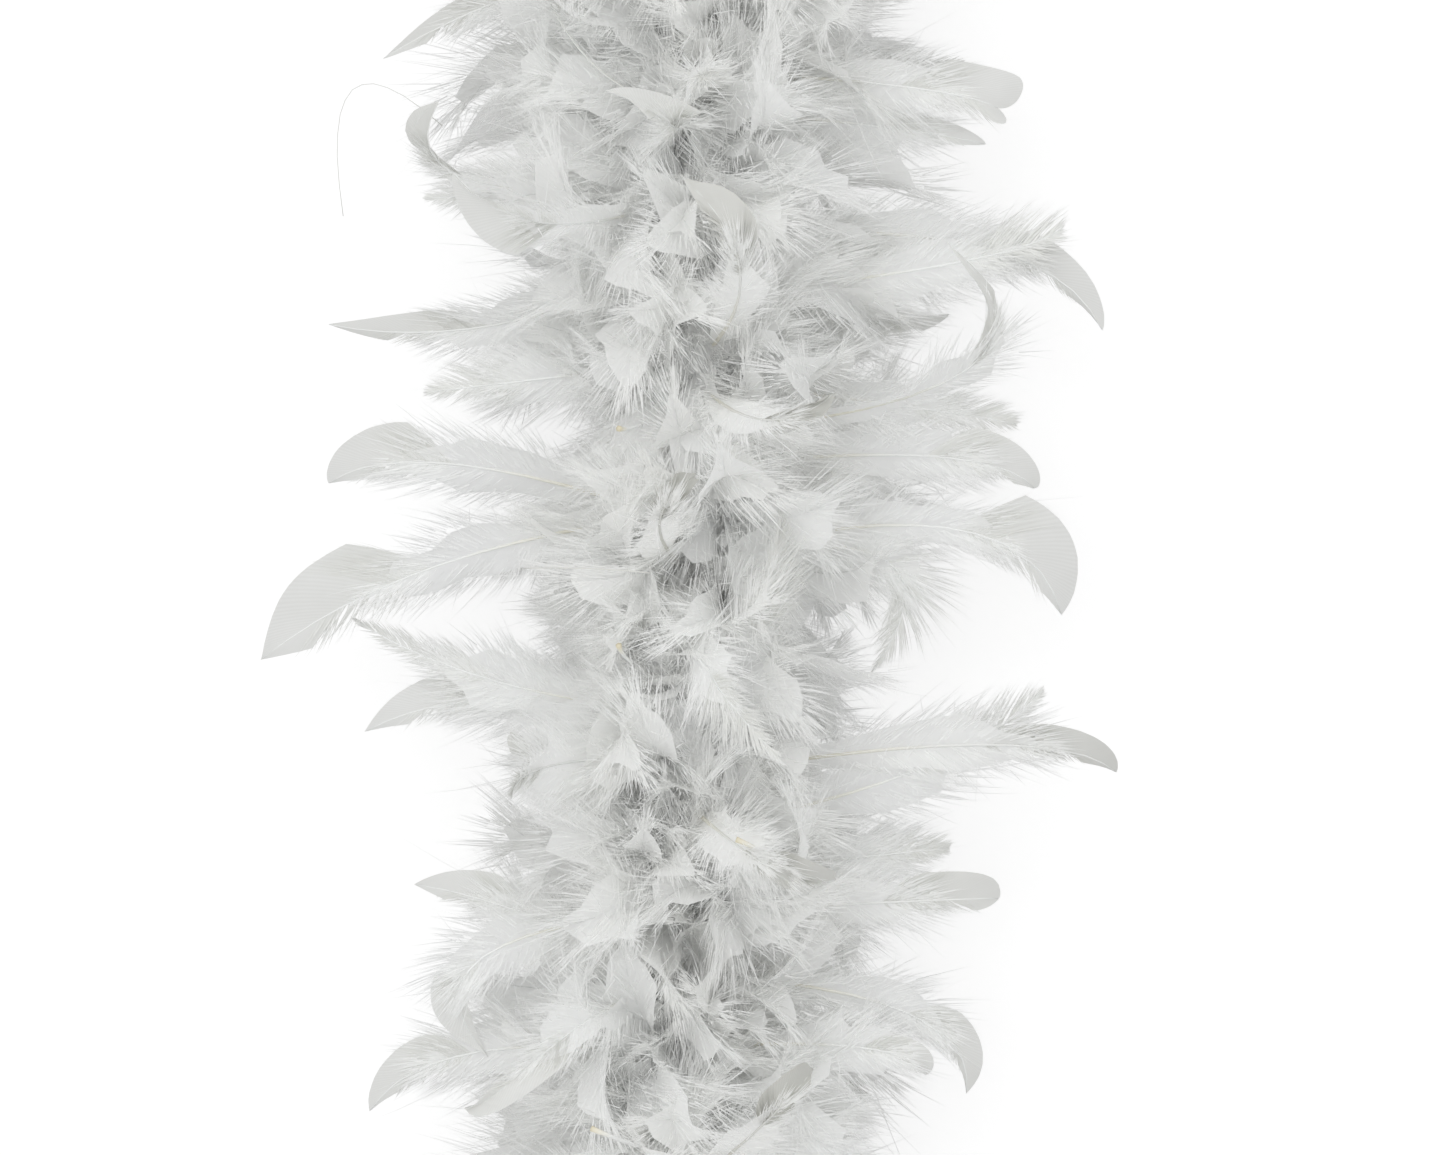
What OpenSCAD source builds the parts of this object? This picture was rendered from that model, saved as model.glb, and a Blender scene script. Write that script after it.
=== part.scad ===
// Feather boa laid down for storage: a straight run that winds into a flat coil.
// Every feather is a separate solid that stands out from a limp core string.

/* [Core] */
// Length of the core string from knot to knot
boa_length = 1800; // [1780:10:1820]
// Diameter of the twisted core string
core_d = 4; // [3:0.5:5]
// Height of the core above the table
core_z = 40; // [38:1:44]
// Height of the core at its two knots, where the string sinks to the table
end_z = 6.6; // [6.5:0.1:8]
// Length over which the core sinks at each end
sink_length = 90; // [70:5:120]

/* [Lay] */
// Length of the straight run before the coil
straight_length = 550; // [540:5:560]
// Radius where the coil starts
coil_r = 193; // [191:1:196]
// Distance from one turn of the coil to the next
turn_pitch = 86; // [84:1:88]

/* [Feathers] */
// Reach of the down feathers from the core's centre
down_reach = 44; // [42:0.5:46]
// Thickest diameter of one down feather
down_d = 20; // [14:1:21]
// Longest reach of the long feathers from the core's centre
long_reach = 94; // [80:1:96]
// Width of a long feather's vane
vane_w = 23; // [16:1:26]
// Thickness of a long feather
vane_t = 0.6; // [0.4:0.1:0.8]
// Feathers of each kind in one section of the core
feathers_per_section = 12; // [9:1:12]

/* [Ends] */
// Diameter of the string in the end loops and the knots
loop_d = 2.6; // [2.2:0.1:3]
// Length of an end loop
loop_length = 36; // [30:1:42]
// Width of an end loop, inside
loop_gap = 13; // [11:0.5:15]
// Diameter of the whipping thread
whip_thread_d = 0.9; // [0.8:0.1:1]
// Diameter of the binding thread
bind_thread_d = 0.7; // [0.5:0.1:0.8]

/* [Hidden] */
SECTIONS = 24;
section_length = boa_length / SECTIONS;
golden_angle = 137.508;
// Bare string at each end, which the whippings cover
bare_end = 22;
// Where the feathers start on the core
root_gap = core_d / 2 + 0.6;
// Steepest angle at which a feather beside a neighbouring turn still meets that turn
beside_angle = 33;
// Arc positions from which there is a turn on the inner side, and on the outer side too
inner_neighbour_from = 440;
outer_neighbour_from = straight_length + 860;
coil_rings = 58;
run_rings = 21;
// The whole lay is moved so that the middle of its box is the origin
centre_shift = [-164.1, -182, 0];
// Straight run, by hand, from the first knot to where the coil starts
run_start = [0, -200];
run_end = [0, 350];

function two_digits(i) = i < 10 ? str("0", i) : str(i);
function section_names(kind) = [for (i = [1:SECTIONS]) str(kind, "_", two_digits(i))];
END_NODES = ["core_string", "binding_thread", "end_whipping_1", "end_whipping_2",
             "end_knot_1", "end_knot_2", "end_loop_1", "end_loop_2"];

// Even spread of numbers from 0 to 1, one sequence for each step
function frac(x) = x - floor(x);
function spread(i, step) = frac(0.5 + i * step);
function smooth(u) = let (v = min(1, max(0, u))) v * v * (3 - 2 * v);

// ---- the lay of the core ----

// The coil's radius shrinks by one pitch in each turn and starts in line with the run
function turn_r(a) = coil_r - turn_pitch * (a * PI / 180 - sin(a)) / (2 * PI);
function coil_point(a) = run_end + [coil_r - turn_r(a) * cos(a), turn_r(a) * sin(a)];
coil_step = 3;
coil_sweep = 600;
LAY = concat([run_start], [for (a = [0:coil_step:coil_sweep]) coil_point(a)]);
LAY_AT = [for (i = 0, s = 0; i < len(LAY);
               i = i + 1, s = s + (i < len(LAY) ? norm(LAY[i] - LAY[i - 1]) : 0)) s];
LAY_X = [for (i = [0:len(LAY) - 1]) [LAY_AT[i], LAY[i].x]];
LAY_Y = [for (i = [0:len(LAY) - 1]) [LAY_AT[i], LAY[i].y]];

function end_height(u) = end_z + (core_z - end_z) * smooth(u / sink_length);
function height_at(s) = min(end_height(s), end_height(boa_length - s));
function lay_at(s) = [lookup(s, LAY_X), lookup(s, LAY_Y)];
function place_at(s) = concat(lay_at(s), [height_at(s)]) + centre_shift;
function heading_at(s) =
    let (d = lay_at(min(boa_length, s + 4)) - lay_at(max(0, s - 4))) atan2(-d.x, d.y);
function pitch_at(s) =
    let (a = max(0, s - 2), b = min(boa_length, s + 2))
    atan2(height_at(b) - height_at(a), b - a);

// Puts children at arc length s, with their +Y along the core
module on_core(s) translate(place_at(s)) rotate([0, 0, heading_at(s)]) children();

// Keeps what is above the table
module above_table() {
    difference() {
        children();
        translate([-600, -800, -100]) cube([1400, 1600, 100]);
    }
}

// ---- swept strings ----

function ring_faces(rings, sides) = [for (i = [0:rings - 2], j = [0:sides - 1])
    let (k = (j + 1) % sides)
    each [[i * sides + j, (i + 1) * sides + j, (i + 1) * sides + k],
          [i * sides + j, (i + 1) * sides + k, i * sides + k]]];
function end_caps(rings, sides) = [[for (j = [0:sides - 1]) j],
    [for (j = [sides - 1:-1:0]) (rings - 1) * sides + j]];

// Ring of points round p, square to direction t
function ring(p, t, r, sides) =
    let (f = t / norm(t), u0 = cross(f, [0, 0, 1]), u = u0 / norm(u0), v = cross(u, f))
    [for (j = [0:sides - 1]) p + r * (cos(j * 360 / sides) * u + sin(j * 360 / sides) * v)];

module swept_string(points, d, sides) {
    n = len(points);
    rings = [for (i = [0:n - 1])
        ring(points[i], points[min(n - 1, i + 1)] - points[max(0, i - 1)], d / 2, sides)];
    polyhedron([for (r = rings) each r], concat(ring_faces(n, sides), end_caps(n, sides)));
}

module core_string() {
    stops = concat([for (i = [0:run_rings - 1]) i * straight_length / run_rings],
                   [for (i = [0:coil_rings])
                       straight_length + i * (boa_length - straight_length) / coil_rings]);
    color("gainsboro") swept_string([for (s = stops) place_at(s)], core_d, 8);
}

// ---- threads, knots and loops at the ends ----

module thread_ring(inner_r, d) {
    rotate([90, 0, 0]) rotate_extrude($fn = 32) translate([inner_r + d / 2, 0]) circle(d = d, $fn = 16);
}

// One turn of the binding thread at every locking point along the core
module binding_thread() {
    lock_pitch = 25;
    first = bare_end + 8;
    color("whitesmoke")
        for (s = [first:lock_pitch:boa_length - first])
            on_core(s) rotate([pitch_at(s), 0, 0]) thread_ring(core_d / 2 + 0.05, bind_thread_d);
}

// Closely wound thread over the bare end of the core
module end_whipping(s) {
    turns = 12;
    inner_r = core_d / 2 + 0.05;
    color("white") on_core(s) rotate([pitch_at(s) + 90, 0, 0]) rotate_extrude($fn = 32) {
        translate([inner_r, -turns * whip_thread_d / 2])
            square([whip_thread_d / 2, turns * whip_thread_d]);
        for (i = [0:turns - 1])
            translate([inner_r + whip_thread_d / 2, (i + 0.5 - turns / 2) * whip_thread_d])
                circle(d = whip_thread_d * 0.98, $fn = 16);
    }
}

// Overhand knot of string, as a three-lobed closed knot that meets the core's end face
module end_knot(s, outward) {
    k = loop_d * 0.63;
    steps = 54;
    knot = [for (i = [0:steps - 1]) let (a = i * 360 / steps)
        k * [(2 + cos(3 * a)) * cos(2 * a), (2 + cos(3 * a)) * sin(2 * a), sin(3 * a)]];
    half = k + loop_d / 2;
    rings = [for (i = [0:steps - 1])
        ring(knot[i], knot[(i + 1) % steps] - knot[(i + steps - 1) % steps], loop_d / 2, 8)];
    closing = [for (j = [0:7]) let (m = (j + 1) % 8, e = (steps - 1) * 8)
        each [[e + j, j, m], [e + j, m, e + m]]];
    color("gainsboro") on_core(s) translate([0, outward * (half + 0.05), 0]) rotate([90, 0, 0])
        polyhedron([for (r = rings) each r], concat(ring_faces(steps, 8), closing));
}

// Bight of string past the knot, which slopes down to lie on the table
module end_loop(s, outward) {
    steps = 30;
    start = loop_d * 0.63 * 2 + loop_d + 0.1;
    drop = end_z - loop_d / 2 - 0.1;
    half_w = (loop_gap + loop_d) / 2;
    loop = [for (i = [0:steps]) let (a = i * 360 / steps)
        [half_w * sin(a) * pow(sin(a / 2), 0.7),
         start + 1.5 + loop_length * (1 - cos(a)) / 2,
         -drop * (1 - cos(a)) / 2]];
    trimmed = [for (i = [1:steps - 1]) loop[i]];
    color("gainsboro") on_core(s) scale([1, outward, 1]) swept_string(trimmed, loop_d, 8);
}

// ---- feathers ----

// Down and long feathers take turns along the core, each a golden angle on from the last
feather_count = 2 * SECTIONS * feathers_per_section;
function feather_at(j) = bare_end + (boa_length - 2 * bare_end) * (j + 0.5) / feather_count;
function feather_angle(j) = frac(j * golden_angle / 360) * 360;

// Room from the core's centre to the table, and to half way to a turn beside it.
// An angle of 0 points to the coil's inner side, 90 points up and 180 to the outer side.
function table_room(s, a) = sin(a) < -0.01 ? (height_at(s) - 0.8) / -sin(a) : long_reach;
function has_turn_beside(s, a) =
    abs(sin(a)) < sin(beside_angle)
    && s > (cos(a) > 0 ? inner_neighbour_from : outer_neighbour_from);
function room(s, a) = min(long_reach, table_room(s, a),
    has_turn_beside(s, a) ? turn_pitch / 2 / abs(cos(a)) : long_reach);

// Turns a child that lies along +X into the direction at angle up round the core
module around(s, angle, lean) on_core(s) rotate([0, -angle, 0]) rotate([0, 0, lean]) children();

// Spindle of soft barbs with a thin root
module down_feather(reach, d) {
    steps = 9;
    length = reach - root_gap;
    side = [for (i = [0:steps]) let (t = i / steps)
        [0.5 + (d / 2 - 0.5) * sin(180 * pow(t, 1.4)), root_gap + length * t]];
    rotate([0, 90, 0]) rotate_extrude($fn = 24)
        polygon(concat([[0, root_gap]], side, [[0, reach]]));
}

// Flat curved vane with a quill at its root; bend is the sideways sweep of the tip
module long_feather(reach, w, bend) {
    quill = 0.42;
    quill_w = 1.4;
    length = reach - root_gap;
    steps = 7;
    function mid(t) = bend * t * t;
    function half(t) = quill_w / 2 + (w - quill_w) / 2 * pow(sin(180 * pow(t, 0.8)), 0.7) * (1 - 0.25 * t);
    function edge(side) = [for (i = [0:steps]) let (t = i / steps)
        [root_gap + length * (quill + (1 - quill) * t), mid(quill + (1 - quill) * t) + side * half(t)]];
    root = [[root_gap, -quill_w / 2], [root_gap, quill_w / 2]];
    upper = edge(1);
    lower = edge(-1);
    translate([0, 0, -vane_t / 2]) linear_extrude(vane_t)
        polygon(concat([root[0]], [for (i = [0:steps]) lower[i]],
                       [for (i = [steps:-1:0]) upper[i]], [root[1]]));
}

module down_feathers(section) {
    squash = 3;
    shortest = 12;
    color("white") above_table()
        for (k = [0:feathers_per_section - 1]) {
            j = 2 * ((section - 1) * feathers_per_section + k);
            s = feather_at(j);
            angle = feather_angle(j);
            reach = min(down_reach * (0.94 + 0.06 * spread(j, 0.754878)),
                        table_room(s, angle) + squash);
            if (reach > shortest)
                around(s, angle, 0) down_feather(reach, down_d * min(1, reach / down_reach + 0.2));
        }
}

module long_feathers(section) {
    most_lean = 8;
    most_bend = 12;
    shortest = 12;
    color([0.87, 0.87, 0.84])
        for (k = [0:feathers_per_section - 1]) {
            j = 2 * ((section - 1) * feathers_per_section + k) + 1;
            s = feather_at(j);
            angle = feather_angle(j);
            reach = min(long_reach * (0.74 + 0.26 * spread(j, 0.754878)), room(s, angle));
            size = reach / long_reach;
            if (reach > shortest)
                around(s, angle, most_lean * (2 * spread(j, 0.569840) - 1))
                    long_feather(reach, vane_w * size * (0.8 + 0.2 * spread(j, 0.819173)),
                                 most_bend * size * (2 * spread(j, 0.671044) - 1));
        }
}

core_string();
binding_thread();
end_whipping(bare_end / 2);  // end_whipping_1
end_whipping(boa_length - bare_end / 2);  // end_whipping_2
end_knot(0, -1);  // end_knot_1
end_knot(boa_length, 1);  // end_knot_2
end_loop(0, -1);  // end_loop_1
end_loop(boa_length, 1);  // end_loop_2
for (i = [1:SECTIONS])
    down_feathers(i);
for (i = [1:SECTIONS])
    long_feathers(i);
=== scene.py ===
from collections import namedtuple

import bmesh
import bpy
import numpy as np
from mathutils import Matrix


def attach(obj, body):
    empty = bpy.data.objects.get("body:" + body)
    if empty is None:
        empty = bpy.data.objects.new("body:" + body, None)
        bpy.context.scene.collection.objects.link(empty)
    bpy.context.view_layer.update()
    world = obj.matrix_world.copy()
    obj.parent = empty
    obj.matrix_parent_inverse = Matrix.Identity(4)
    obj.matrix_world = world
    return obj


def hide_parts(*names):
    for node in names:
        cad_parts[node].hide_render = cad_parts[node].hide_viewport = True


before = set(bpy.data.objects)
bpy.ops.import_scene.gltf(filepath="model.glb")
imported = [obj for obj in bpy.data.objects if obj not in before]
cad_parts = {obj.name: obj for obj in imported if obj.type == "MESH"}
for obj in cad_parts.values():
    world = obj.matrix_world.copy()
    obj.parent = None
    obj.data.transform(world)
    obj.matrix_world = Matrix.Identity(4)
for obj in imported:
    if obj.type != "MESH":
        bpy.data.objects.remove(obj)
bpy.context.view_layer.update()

MM = 0.001

# ---- the lay of the core, in metres, as the CAD part has it: a straight run, then a coil ----

BOA_LENGTH = 1.8
RUN_START = (-0.1641, -0.382)
RUN_END = (-0.1641, 0.168)
RUN_LENGTH = RUN_END[1] - RUN_START[1]
COIL_R = 0.193
TURN_PITCH = 0.086
COIL_SWEEP = 600
CORE_D = 4 * MM
CORE_Z = 40 * MM
END_Z = 6.6 * MM
SINK_LENGTH = 90 * MM
BARE_END = 22 * MM
SECTIONS = 24
SECTION_LENGTH = BOA_LENGTH / SECTIONS

# ---- the stretch that the camera sees ----

VIEW_Y = -0.182
VIEW_X = RUN_START[0] + 8 * MM
VIEW_W = 320 * MM
LENS = 100
SENSOR = 36
CAMERA_Z = CORE_Z + VIEW_W * LENS / SENSOR


def lay_points():
    """The run's start, and the coil from where it leaves the run; each turn lies inside the last."""
    a = np.radians(np.arange(0, COIL_SWEEP + 1, 3.0))
    r = COIL_R - TURN_PITCH * (a - np.sin(a)) / (2 * np.pi)
    coil = np.stack([RUN_END[0] + COIL_R - r * np.cos(a), RUN_END[1] + r * np.sin(a)], axis=1)
    return np.vstack([[RUN_START], coil])


LAY = lay_points()
LAY_AT = np.concatenate([[0], np.cumsum(np.linalg.norm(np.diff(LAY, axis=0), axis=1))])


def smooth(u):
    """0 to 1 with a soft start and stop, as u goes from 0 to 1."""
    v = np.clip(u, 0, 1)
    return v * v * (3 - 2 * v)


def core_at(s):
    """Points of the core's centre line at arc lengths s."""
    s = np.asarray(s, float)
    end = np.minimum(s, BOA_LENGTH - s)
    z = END_Z + (CORE_Z - END_Z) * smooth(end / SINK_LENGTH)
    return np.stack([np.interp(s, LAY_AT, LAY[:, 0]), np.interp(s, LAY_AT, LAY[:, 1]), z], axis=-1)


def unit(v):
    return v / np.linalg.norm(v, axis=-1, keepdims=True)


def core_axes(s):
    """The core's direction, its inner side and up, at arc lengths s."""
    ahead = unit(core_at(np.minimum(s + CORE_D, BOA_LENGTH)) - core_at(np.maximum(s - CORE_D, 0)))
    inner = unit(np.stack([ahead[..., 1], -ahead[..., 0], np.zeros_like(ahead[..., 0])], axis=-1))
    return ahead, inner, np.cross(inner, ahead)


# ---- strips, rods and veils: the shapes that every feather is made of ----

# along and across: where each corner is on the shape; turn: its angle round a rod; corners and sizes:
# the corners of the faces, one face after the other, and how many each has

Shape = namedtuple("Shape", "along across turn corners sizes")


def shape_of(bm, along, across, turn):
    bm.verts.ensure_lookup_table()
    bm.verts.index_update()
    faces = [[v.index for v in f.verts] for f in bm.faces]
    shape = Shape(
        np.array([along(v.co) for v in bm.verts]),
        np.array([across(v.co) for v in bm.verts]),
        np.array([turn(v.co) for v in bm.verts]),
        np.array([i for f in faces for i in f], np.int32),
        np.array([len(f) for f in faces], np.int32),
    )
    bm.free()
    return shape


def strip_shape(segments):
    """A flat strip from along 0 to 1 that ends in a point."""
    bm = bmesh.new()
    bmesh.ops.create_grid(bm, x_segments=segments, y_segments=1, size=0.5)
    tip = [v for v in bm.verts if v.co.x > 0.499]
    bmesh.ops.pointmerge(bm, verts=tip, merge_co=(0.5, 0, 0))
    return shape_of(bm, lambda c: c.x + 0.5, lambda c: 2 * c.y, lambda c: 0.0)


def rod_shape(segments, sides):
    """A rod from along 0 to 1, closed at both ends."""
    bm = bmesh.new()
    bmesh.ops.create_cone(bm, cap_ends=True, segments=sides, radius1=0.5, radius2=0.5, depth=1)
    long_edges = [e for e in bm.edges if abs(e.verts[0].co.z - e.verts[1].co.z) > 0.5]
    bmesh.ops.subdivide_edges(bm, edges=long_edges, cuts=segments - 1)
    return shape_of(bm, lambda c: c.z + 0.5, lambda c: 1.0, lambda c: np.arctan2(c.y, c.x))


def veil_shape(rows, columns):
    """A sheet of rows by columns points; along holds each point's row, and across its column."""
    bm = bmesh.new()
    bmesh.ops.create_grid(bm, x_segments=rows - 1, y_segments=columns - 1, size=0.5)
    row = lambda c: round((c.x + 0.5) * (rows - 1))
    column = lambda c: round((c.y + 0.5) * (columns - 1))
    return shape_of(bm, row, column, lambda c: 0.0)


class Plumage:
    """Gathers copies of shapes, and makes one mesh of them."""

    def __init__(self):
        self.points, self.corners, self.sizes = [], [], []
        self.tone, self.along, self.finish = [], [], []
        self.count = 0

    def add(self, shape, points, tone, along, finish):
        """points has one row of places for each copy; tone is one number for each copy."""
        copies, size = points.shape[0], len(shape.along)
        starts = self.count + size * np.arange(copies, dtype=np.int32)[:, None]
        self.corners.append((shape.corners[None] + starts).ravel())
        self.sizes.append(np.tile(shape.sizes, copies))
        self.points.append(points.reshape(-1, 3))
        self.tone.append(np.repeat(tone, size))
        self.along.append(np.broadcast_to(along, (copies, size)).ravel())
        self.finish.append(np.full(copies * len(shape.sizes), finish, np.int32))
        self.count += copies * size

    def make(self, name, materials):
        points = settle(np.concatenate(self.points))
        corners, sizes = np.concatenate(self.corners), np.concatenate(self.sizes)
        mesh = bpy.data.meshes.new(name)
        mesh.vertices.add(len(points))
        mesh.vertices.foreach_set("co", points.astype(np.float32).ravel())
        mesh.loops.add(len(corners))
        mesh.loops.foreach_set("vertex_index", corners)
        mesh.polygons.add(len(sizes))
        mesh.polygons.foreach_set("loop_start", np.concatenate([[0], np.cumsum(sizes)[:-1]]))
        mesh.polygons.foreach_set("material_index", np.concatenate(self.finish))
        mesh.polygons.foreach_set("use_smooth", np.ones(len(sizes), bool))
        for key, values in (("tone", self.tone), ("along", self.along)):
            layer = mesh.attributes.new(key, "FLOAT", "POINT")
            layer.data.foreach_set("value", np.concatenate(values).astype(np.float32))
        mesh.update(calc_edges=True)
        for material in materials:
            mesh.materials.append(material)
        piece = bpy.data.objects.new(name, mesh)
        bpy.context.scene.collection.objects.link(piece)
        return piece


# Below this height the feathers are pressed by the boa's own weight
PRESS = 9 * MM


def settle(points):
    """Presses what hangs low flat on the table, and keeps all of it above the table."""
    z = points[:, 2]
    low = z < PRESS
    points[low, 2] = PRESS * np.exp((z[low] - PRESS) / PRESS)
    return points


# ---- strings and threads ----

LOOP_D = 2.6 * MM
LOOP_LENGTH = 36 * MM
LOOP_GAP = 13 * MM
WHIP_D = 0.9 * MM
WHIP_TURNS = 12
BINDING_D = 0.7 * MM
BINDING_PITCH = 7 * MM
# A trefoil of this size is a knot whose strands just touch
KNOT_K = 0.63 * LOOP_D
CORE_LAY = 11 * MM
LOOP_LAY = 6 * MM
TOUCH = 0.1 * MM


def strung(name, lines, thickness, material):
    """Round strings along lists of points, as one mesh."""
    curve = bpy.data.curves.new(name, "CURVE")
    curve.dimensions = "3D"
    curve.bevel_depth = thickness / 2
    curve.bevel_resolution = 2
    curve.use_fill_caps = True
    for points in lines:
        line = curve.splines.new("POLY")
        line.points.add(len(points) - 1)
        line.points.foreach_set("co", np.column_stack([points, np.ones(len(points))]).ravel())
    shaped = bpy.data.objects.new(name, curve)
    mesh = bpy.data.meshes.new_from_object(shaped)
    bpy.data.objects.remove(shaped)
    bpy.data.curves.remove(curve)
    mesh.name = name
    mesh.materials.clear()
    mesh.materials.append(material)
    mesh.polygons.foreach_set("use_smooth", np.ones(len(mesh.polygons), bool))
    piece = bpy.data.objects.new(name, mesh)
    bpy.context.scene.collection.objects.link(piece)
    return piece


def plies(points, thickness, lay_length):
    """Centre lines of two plies twisted round each other along a line."""
    ahead = unit(np.gradient(points, axis=0))
    out = unit(np.cross(ahead[0], [0.3, 0.2, 1.0]))
    outs = []
    for t in ahead:
        out = unit(out - t * np.dot(out, t))
        outs.append(out)
    outs = np.array(outs)
    travel = np.concatenate([[0], np.cumsum(np.linalg.norm(np.diff(points, axis=0), axis=1))])
    turn = (2 * np.pi * travel / lay_length)[:, None]
    arm = (np.cos(turn) * outs + np.sin(turn) * np.cross(ahead, outs)) * thickness / 4
    return points + arm, points - arm


def wound(start, stop, radius, pitch, steps):
    """A helix round the core from one arc length to another."""
    s = np.linspace(start, stop, int((stop - start) / pitch * steps) + 1)
    _, inner, up = core_axes(s)
    turn = (2 * np.pi * s / pitch)[:, None]
    return core_at(s) + radius * (np.cos(turn) * inner + np.sin(turn) * up)


def at_end(s, outward, local):
    """Points given as across, out past the core's end and up, put at that end."""
    ahead, inner, _ = core_axes(np.array([s]))
    ahead = unit(ahead * [1, 1, 0])
    return core_at(s) + local[:, :1] * inner + outward * local[:, 1:2] * ahead + local[:, 2:] * [0, 0, 1]


def knot_line(s, outward):
    """A trefoil knot just past the core's end."""
    a = np.linspace(0, 2 * np.pi, 91)
    ring = 2 + np.cos(3 * a)
    out = KNOT_K + LOOP_D / 2 + TOUCH / 2
    local = np.column_stack([ring * np.cos(2 * a), -outward * np.sin(3 * a), ring * np.sin(2 * a)])
    return at_end(s, outward, local * KNOT_K + [0, out, 0])


LOOP_MOUTH = 12


def loop_line(s, outward):
    """A drop-shaped loop past the knot, which comes down to the table."""
    a = np.radians(np.linspace(LOOP_MOUTH, 360 - LOOP_MOUTH, 85))
    half_w = (LOOP_GAP + LOOP_D) / 2
    start = 2 * KNOT_K + LOOP_D + 1.6 * MM
    drop = END_Z - LOOP_D / 2 - TOUCH
    away = (1 - np.cos(a)) / 2
    across = half_w * np.sin(a) * np.sin(a / 2) ** 0.7
    return at_end(s, outward, np.column_stack([across, start + LOOP_LENGTH * away, -drop * away]))


def take_place(piece, slot, *nodes):
    """The piece stands for CAD nodes, which are hidden, and hangs from the root body; the slot is not used.
    """
    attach(piece, "root")
    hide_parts(*nodes)


def core_string(string):
    s = np.linspace(0, BOA_LENGTH, 1201)
    core = strung("core_string_plies", plies(core_at(s), CORE_D, CORE_LAY), CORE_D / 2, string)
    take_place(core, "string", "core_string")
    path = core_at(np.linspace(0, BOA_LENGTH, 301))


def threads(thread):
    """The binding thread, and the whipping at each end."""
    edge = BARE_END + 8 * MM
    turns = wound(edge, BOA_LENGTH - edge, (CORE_D + BINDING_D) / 2, BINDING_PITCH, 10)
    take_place(strung("binding_thread_turns", [turns], BINDING_D, thread), "thread", "binding_thread")
    for i, middle in enumerate((BARE_END / 2, BOA_LENGTH - BARE_END / 2), 1):
        half = WHIP_TURNS * WHIP_D / 2
        turns = wound(middle - half, middle + half, (CORE_D + WHIP_D) / 2, WHIP_D, 20)
        piece = strung(f"end_whipping_turns_{i}", [turns], WHIP_D, thread)
        take_place(piece, "thread", f"end_whipping_{i}")


def ends(string):
    """The knot and the loop at each end."""
    for i, (s, outward) in enumerate(((0, -1), (BOA_LENGTH, 1)), 1):
        for part, line in (("knot", knot_line), ("loop", loop_line)):
            twisted = plies(line(s, outward), LOOP_D, LOOP_LAY)
            piece = strung(f"end_{part}_plies_{i}", twisted, LOOP_D / 2, string)
            take_place(piece, "string", f"end_{part}_{i}")


# ---- feathers ----

# A spine is a batch of centre lines in STEPS steps: places, directions, flat sides, upper faces, lengths
STEPS = 18
Spine = namedtuple("Spine", "place ahead side normal length")


def turned(a, b, angle):
    """a turned towards b, which is square to it."""
    c, s = np.cos(angle)[:, None], np.sin(angle)[:, None]
    return a * c + b * s, b * c - a * s


def spines(root, ahead, side, length, curl, sweep, twist, hold):
    """Centre lines of many feathers, which bend only past the held part of their length."""
    side = unit(side - ahead * np.sum(side * ahead, axis=1, keepdims=True))
    place, normal = root.copy(), np.cross(ahead, side)
    rows = [(place, ahead, side, normal)]
    for i in range(STEPS):
        free = np.clip(((i + 1) / STEPS - hold) / (1 - hold), 0, None) * 2 / STEPS / (1 - hold)
        ahead, normal = turned(ahead, normal, curl * free)
        ahead, side = turned(ahead, side, sweep * free)
        side, normal = turned(side, normal, twist * free)
        place = place + ahead * (length / STEPS)[:, None]
        rows.append((place, ahead, side, normal))
    return Spine(*(np.stack(c, axis=1) for c in zip(*rows)), length)


def on_spine(rows, t):
    """Values of a spine's rows at the stations t, one row of stations for each feather."""
    x = np.clip(t, 0, 1) * STEPS
    i = np.minimum(x.astype(int), STEPS - 1)
    f = (x - i)[..., None]
    a = np.take_along_axis(rows, i[..., None], axis=1)
    b = np.take_along_axis(rows, i[..., None] + 1, axis=1)
    return a * (1 - f) + b * f


# at: the station on the shaft; hand: the side, 1 or -1; angle: from the shaft; lift: out of the vane's
# plane; forward and arch: how far the tip bends towards the feather's tip, and up
Barbs = namedtuple("Barbs", "at hand angle length lift forward arch")


def barb_paths(spine, b, v):
    """Centre lines of barbs at their own stations v, and their ways ahead and flat: barbs leave
    the shaft and curve forward."""
    place, t, s, n = (on_spine(r, b.at) for r in (spine.place, spine.ahead, spine.side, spine.normal))
    out = b.hand[..., None] * s
    away = unit(np.cos(b.lift)[..., None] * out + np.sin(b.lift)[..., None] * n)
    ahead = np.cos(b.angle)[..., None] * t + np.sin(b.angle)[..., None] * away
    bend = t * b.forward[..., None] + n * b.arch[..., None]
    path = ahead[..., None, :] * v[..., None] + bend[..., None, :] * v[..., None] ** 2
    return place[..., None, :] + b.length[..., None, None] * path, ahead, unit(np.cross(n, ahead))


# Stations along a strip, and its width at each
TAPER = ([0, 0.4, 0.8, 1], [1, 0.9, 0.45, 0.2])


def barb_points(spine, b, first, last, width, roll, shape):
    """Places of the strips that follow the barbs from their station first to last."""
    v = first[..., None] + (last - first)[..., None] * shape.along
    path, ahead, flat = barb_paths(spine, b, v)
    wide = np.cos(roll)[..., None] * flat + np.sin(roll)[..., None] * unit(np.cross(ahead, flat))
    half = shape.across * np.interp(shape.along, *TAPER)
    points = path + wide[..., None, :] * half[:, None] * (width / 2)[..., None, None]
    return points.reshape(-1, len(shape.along), 3)


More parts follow.
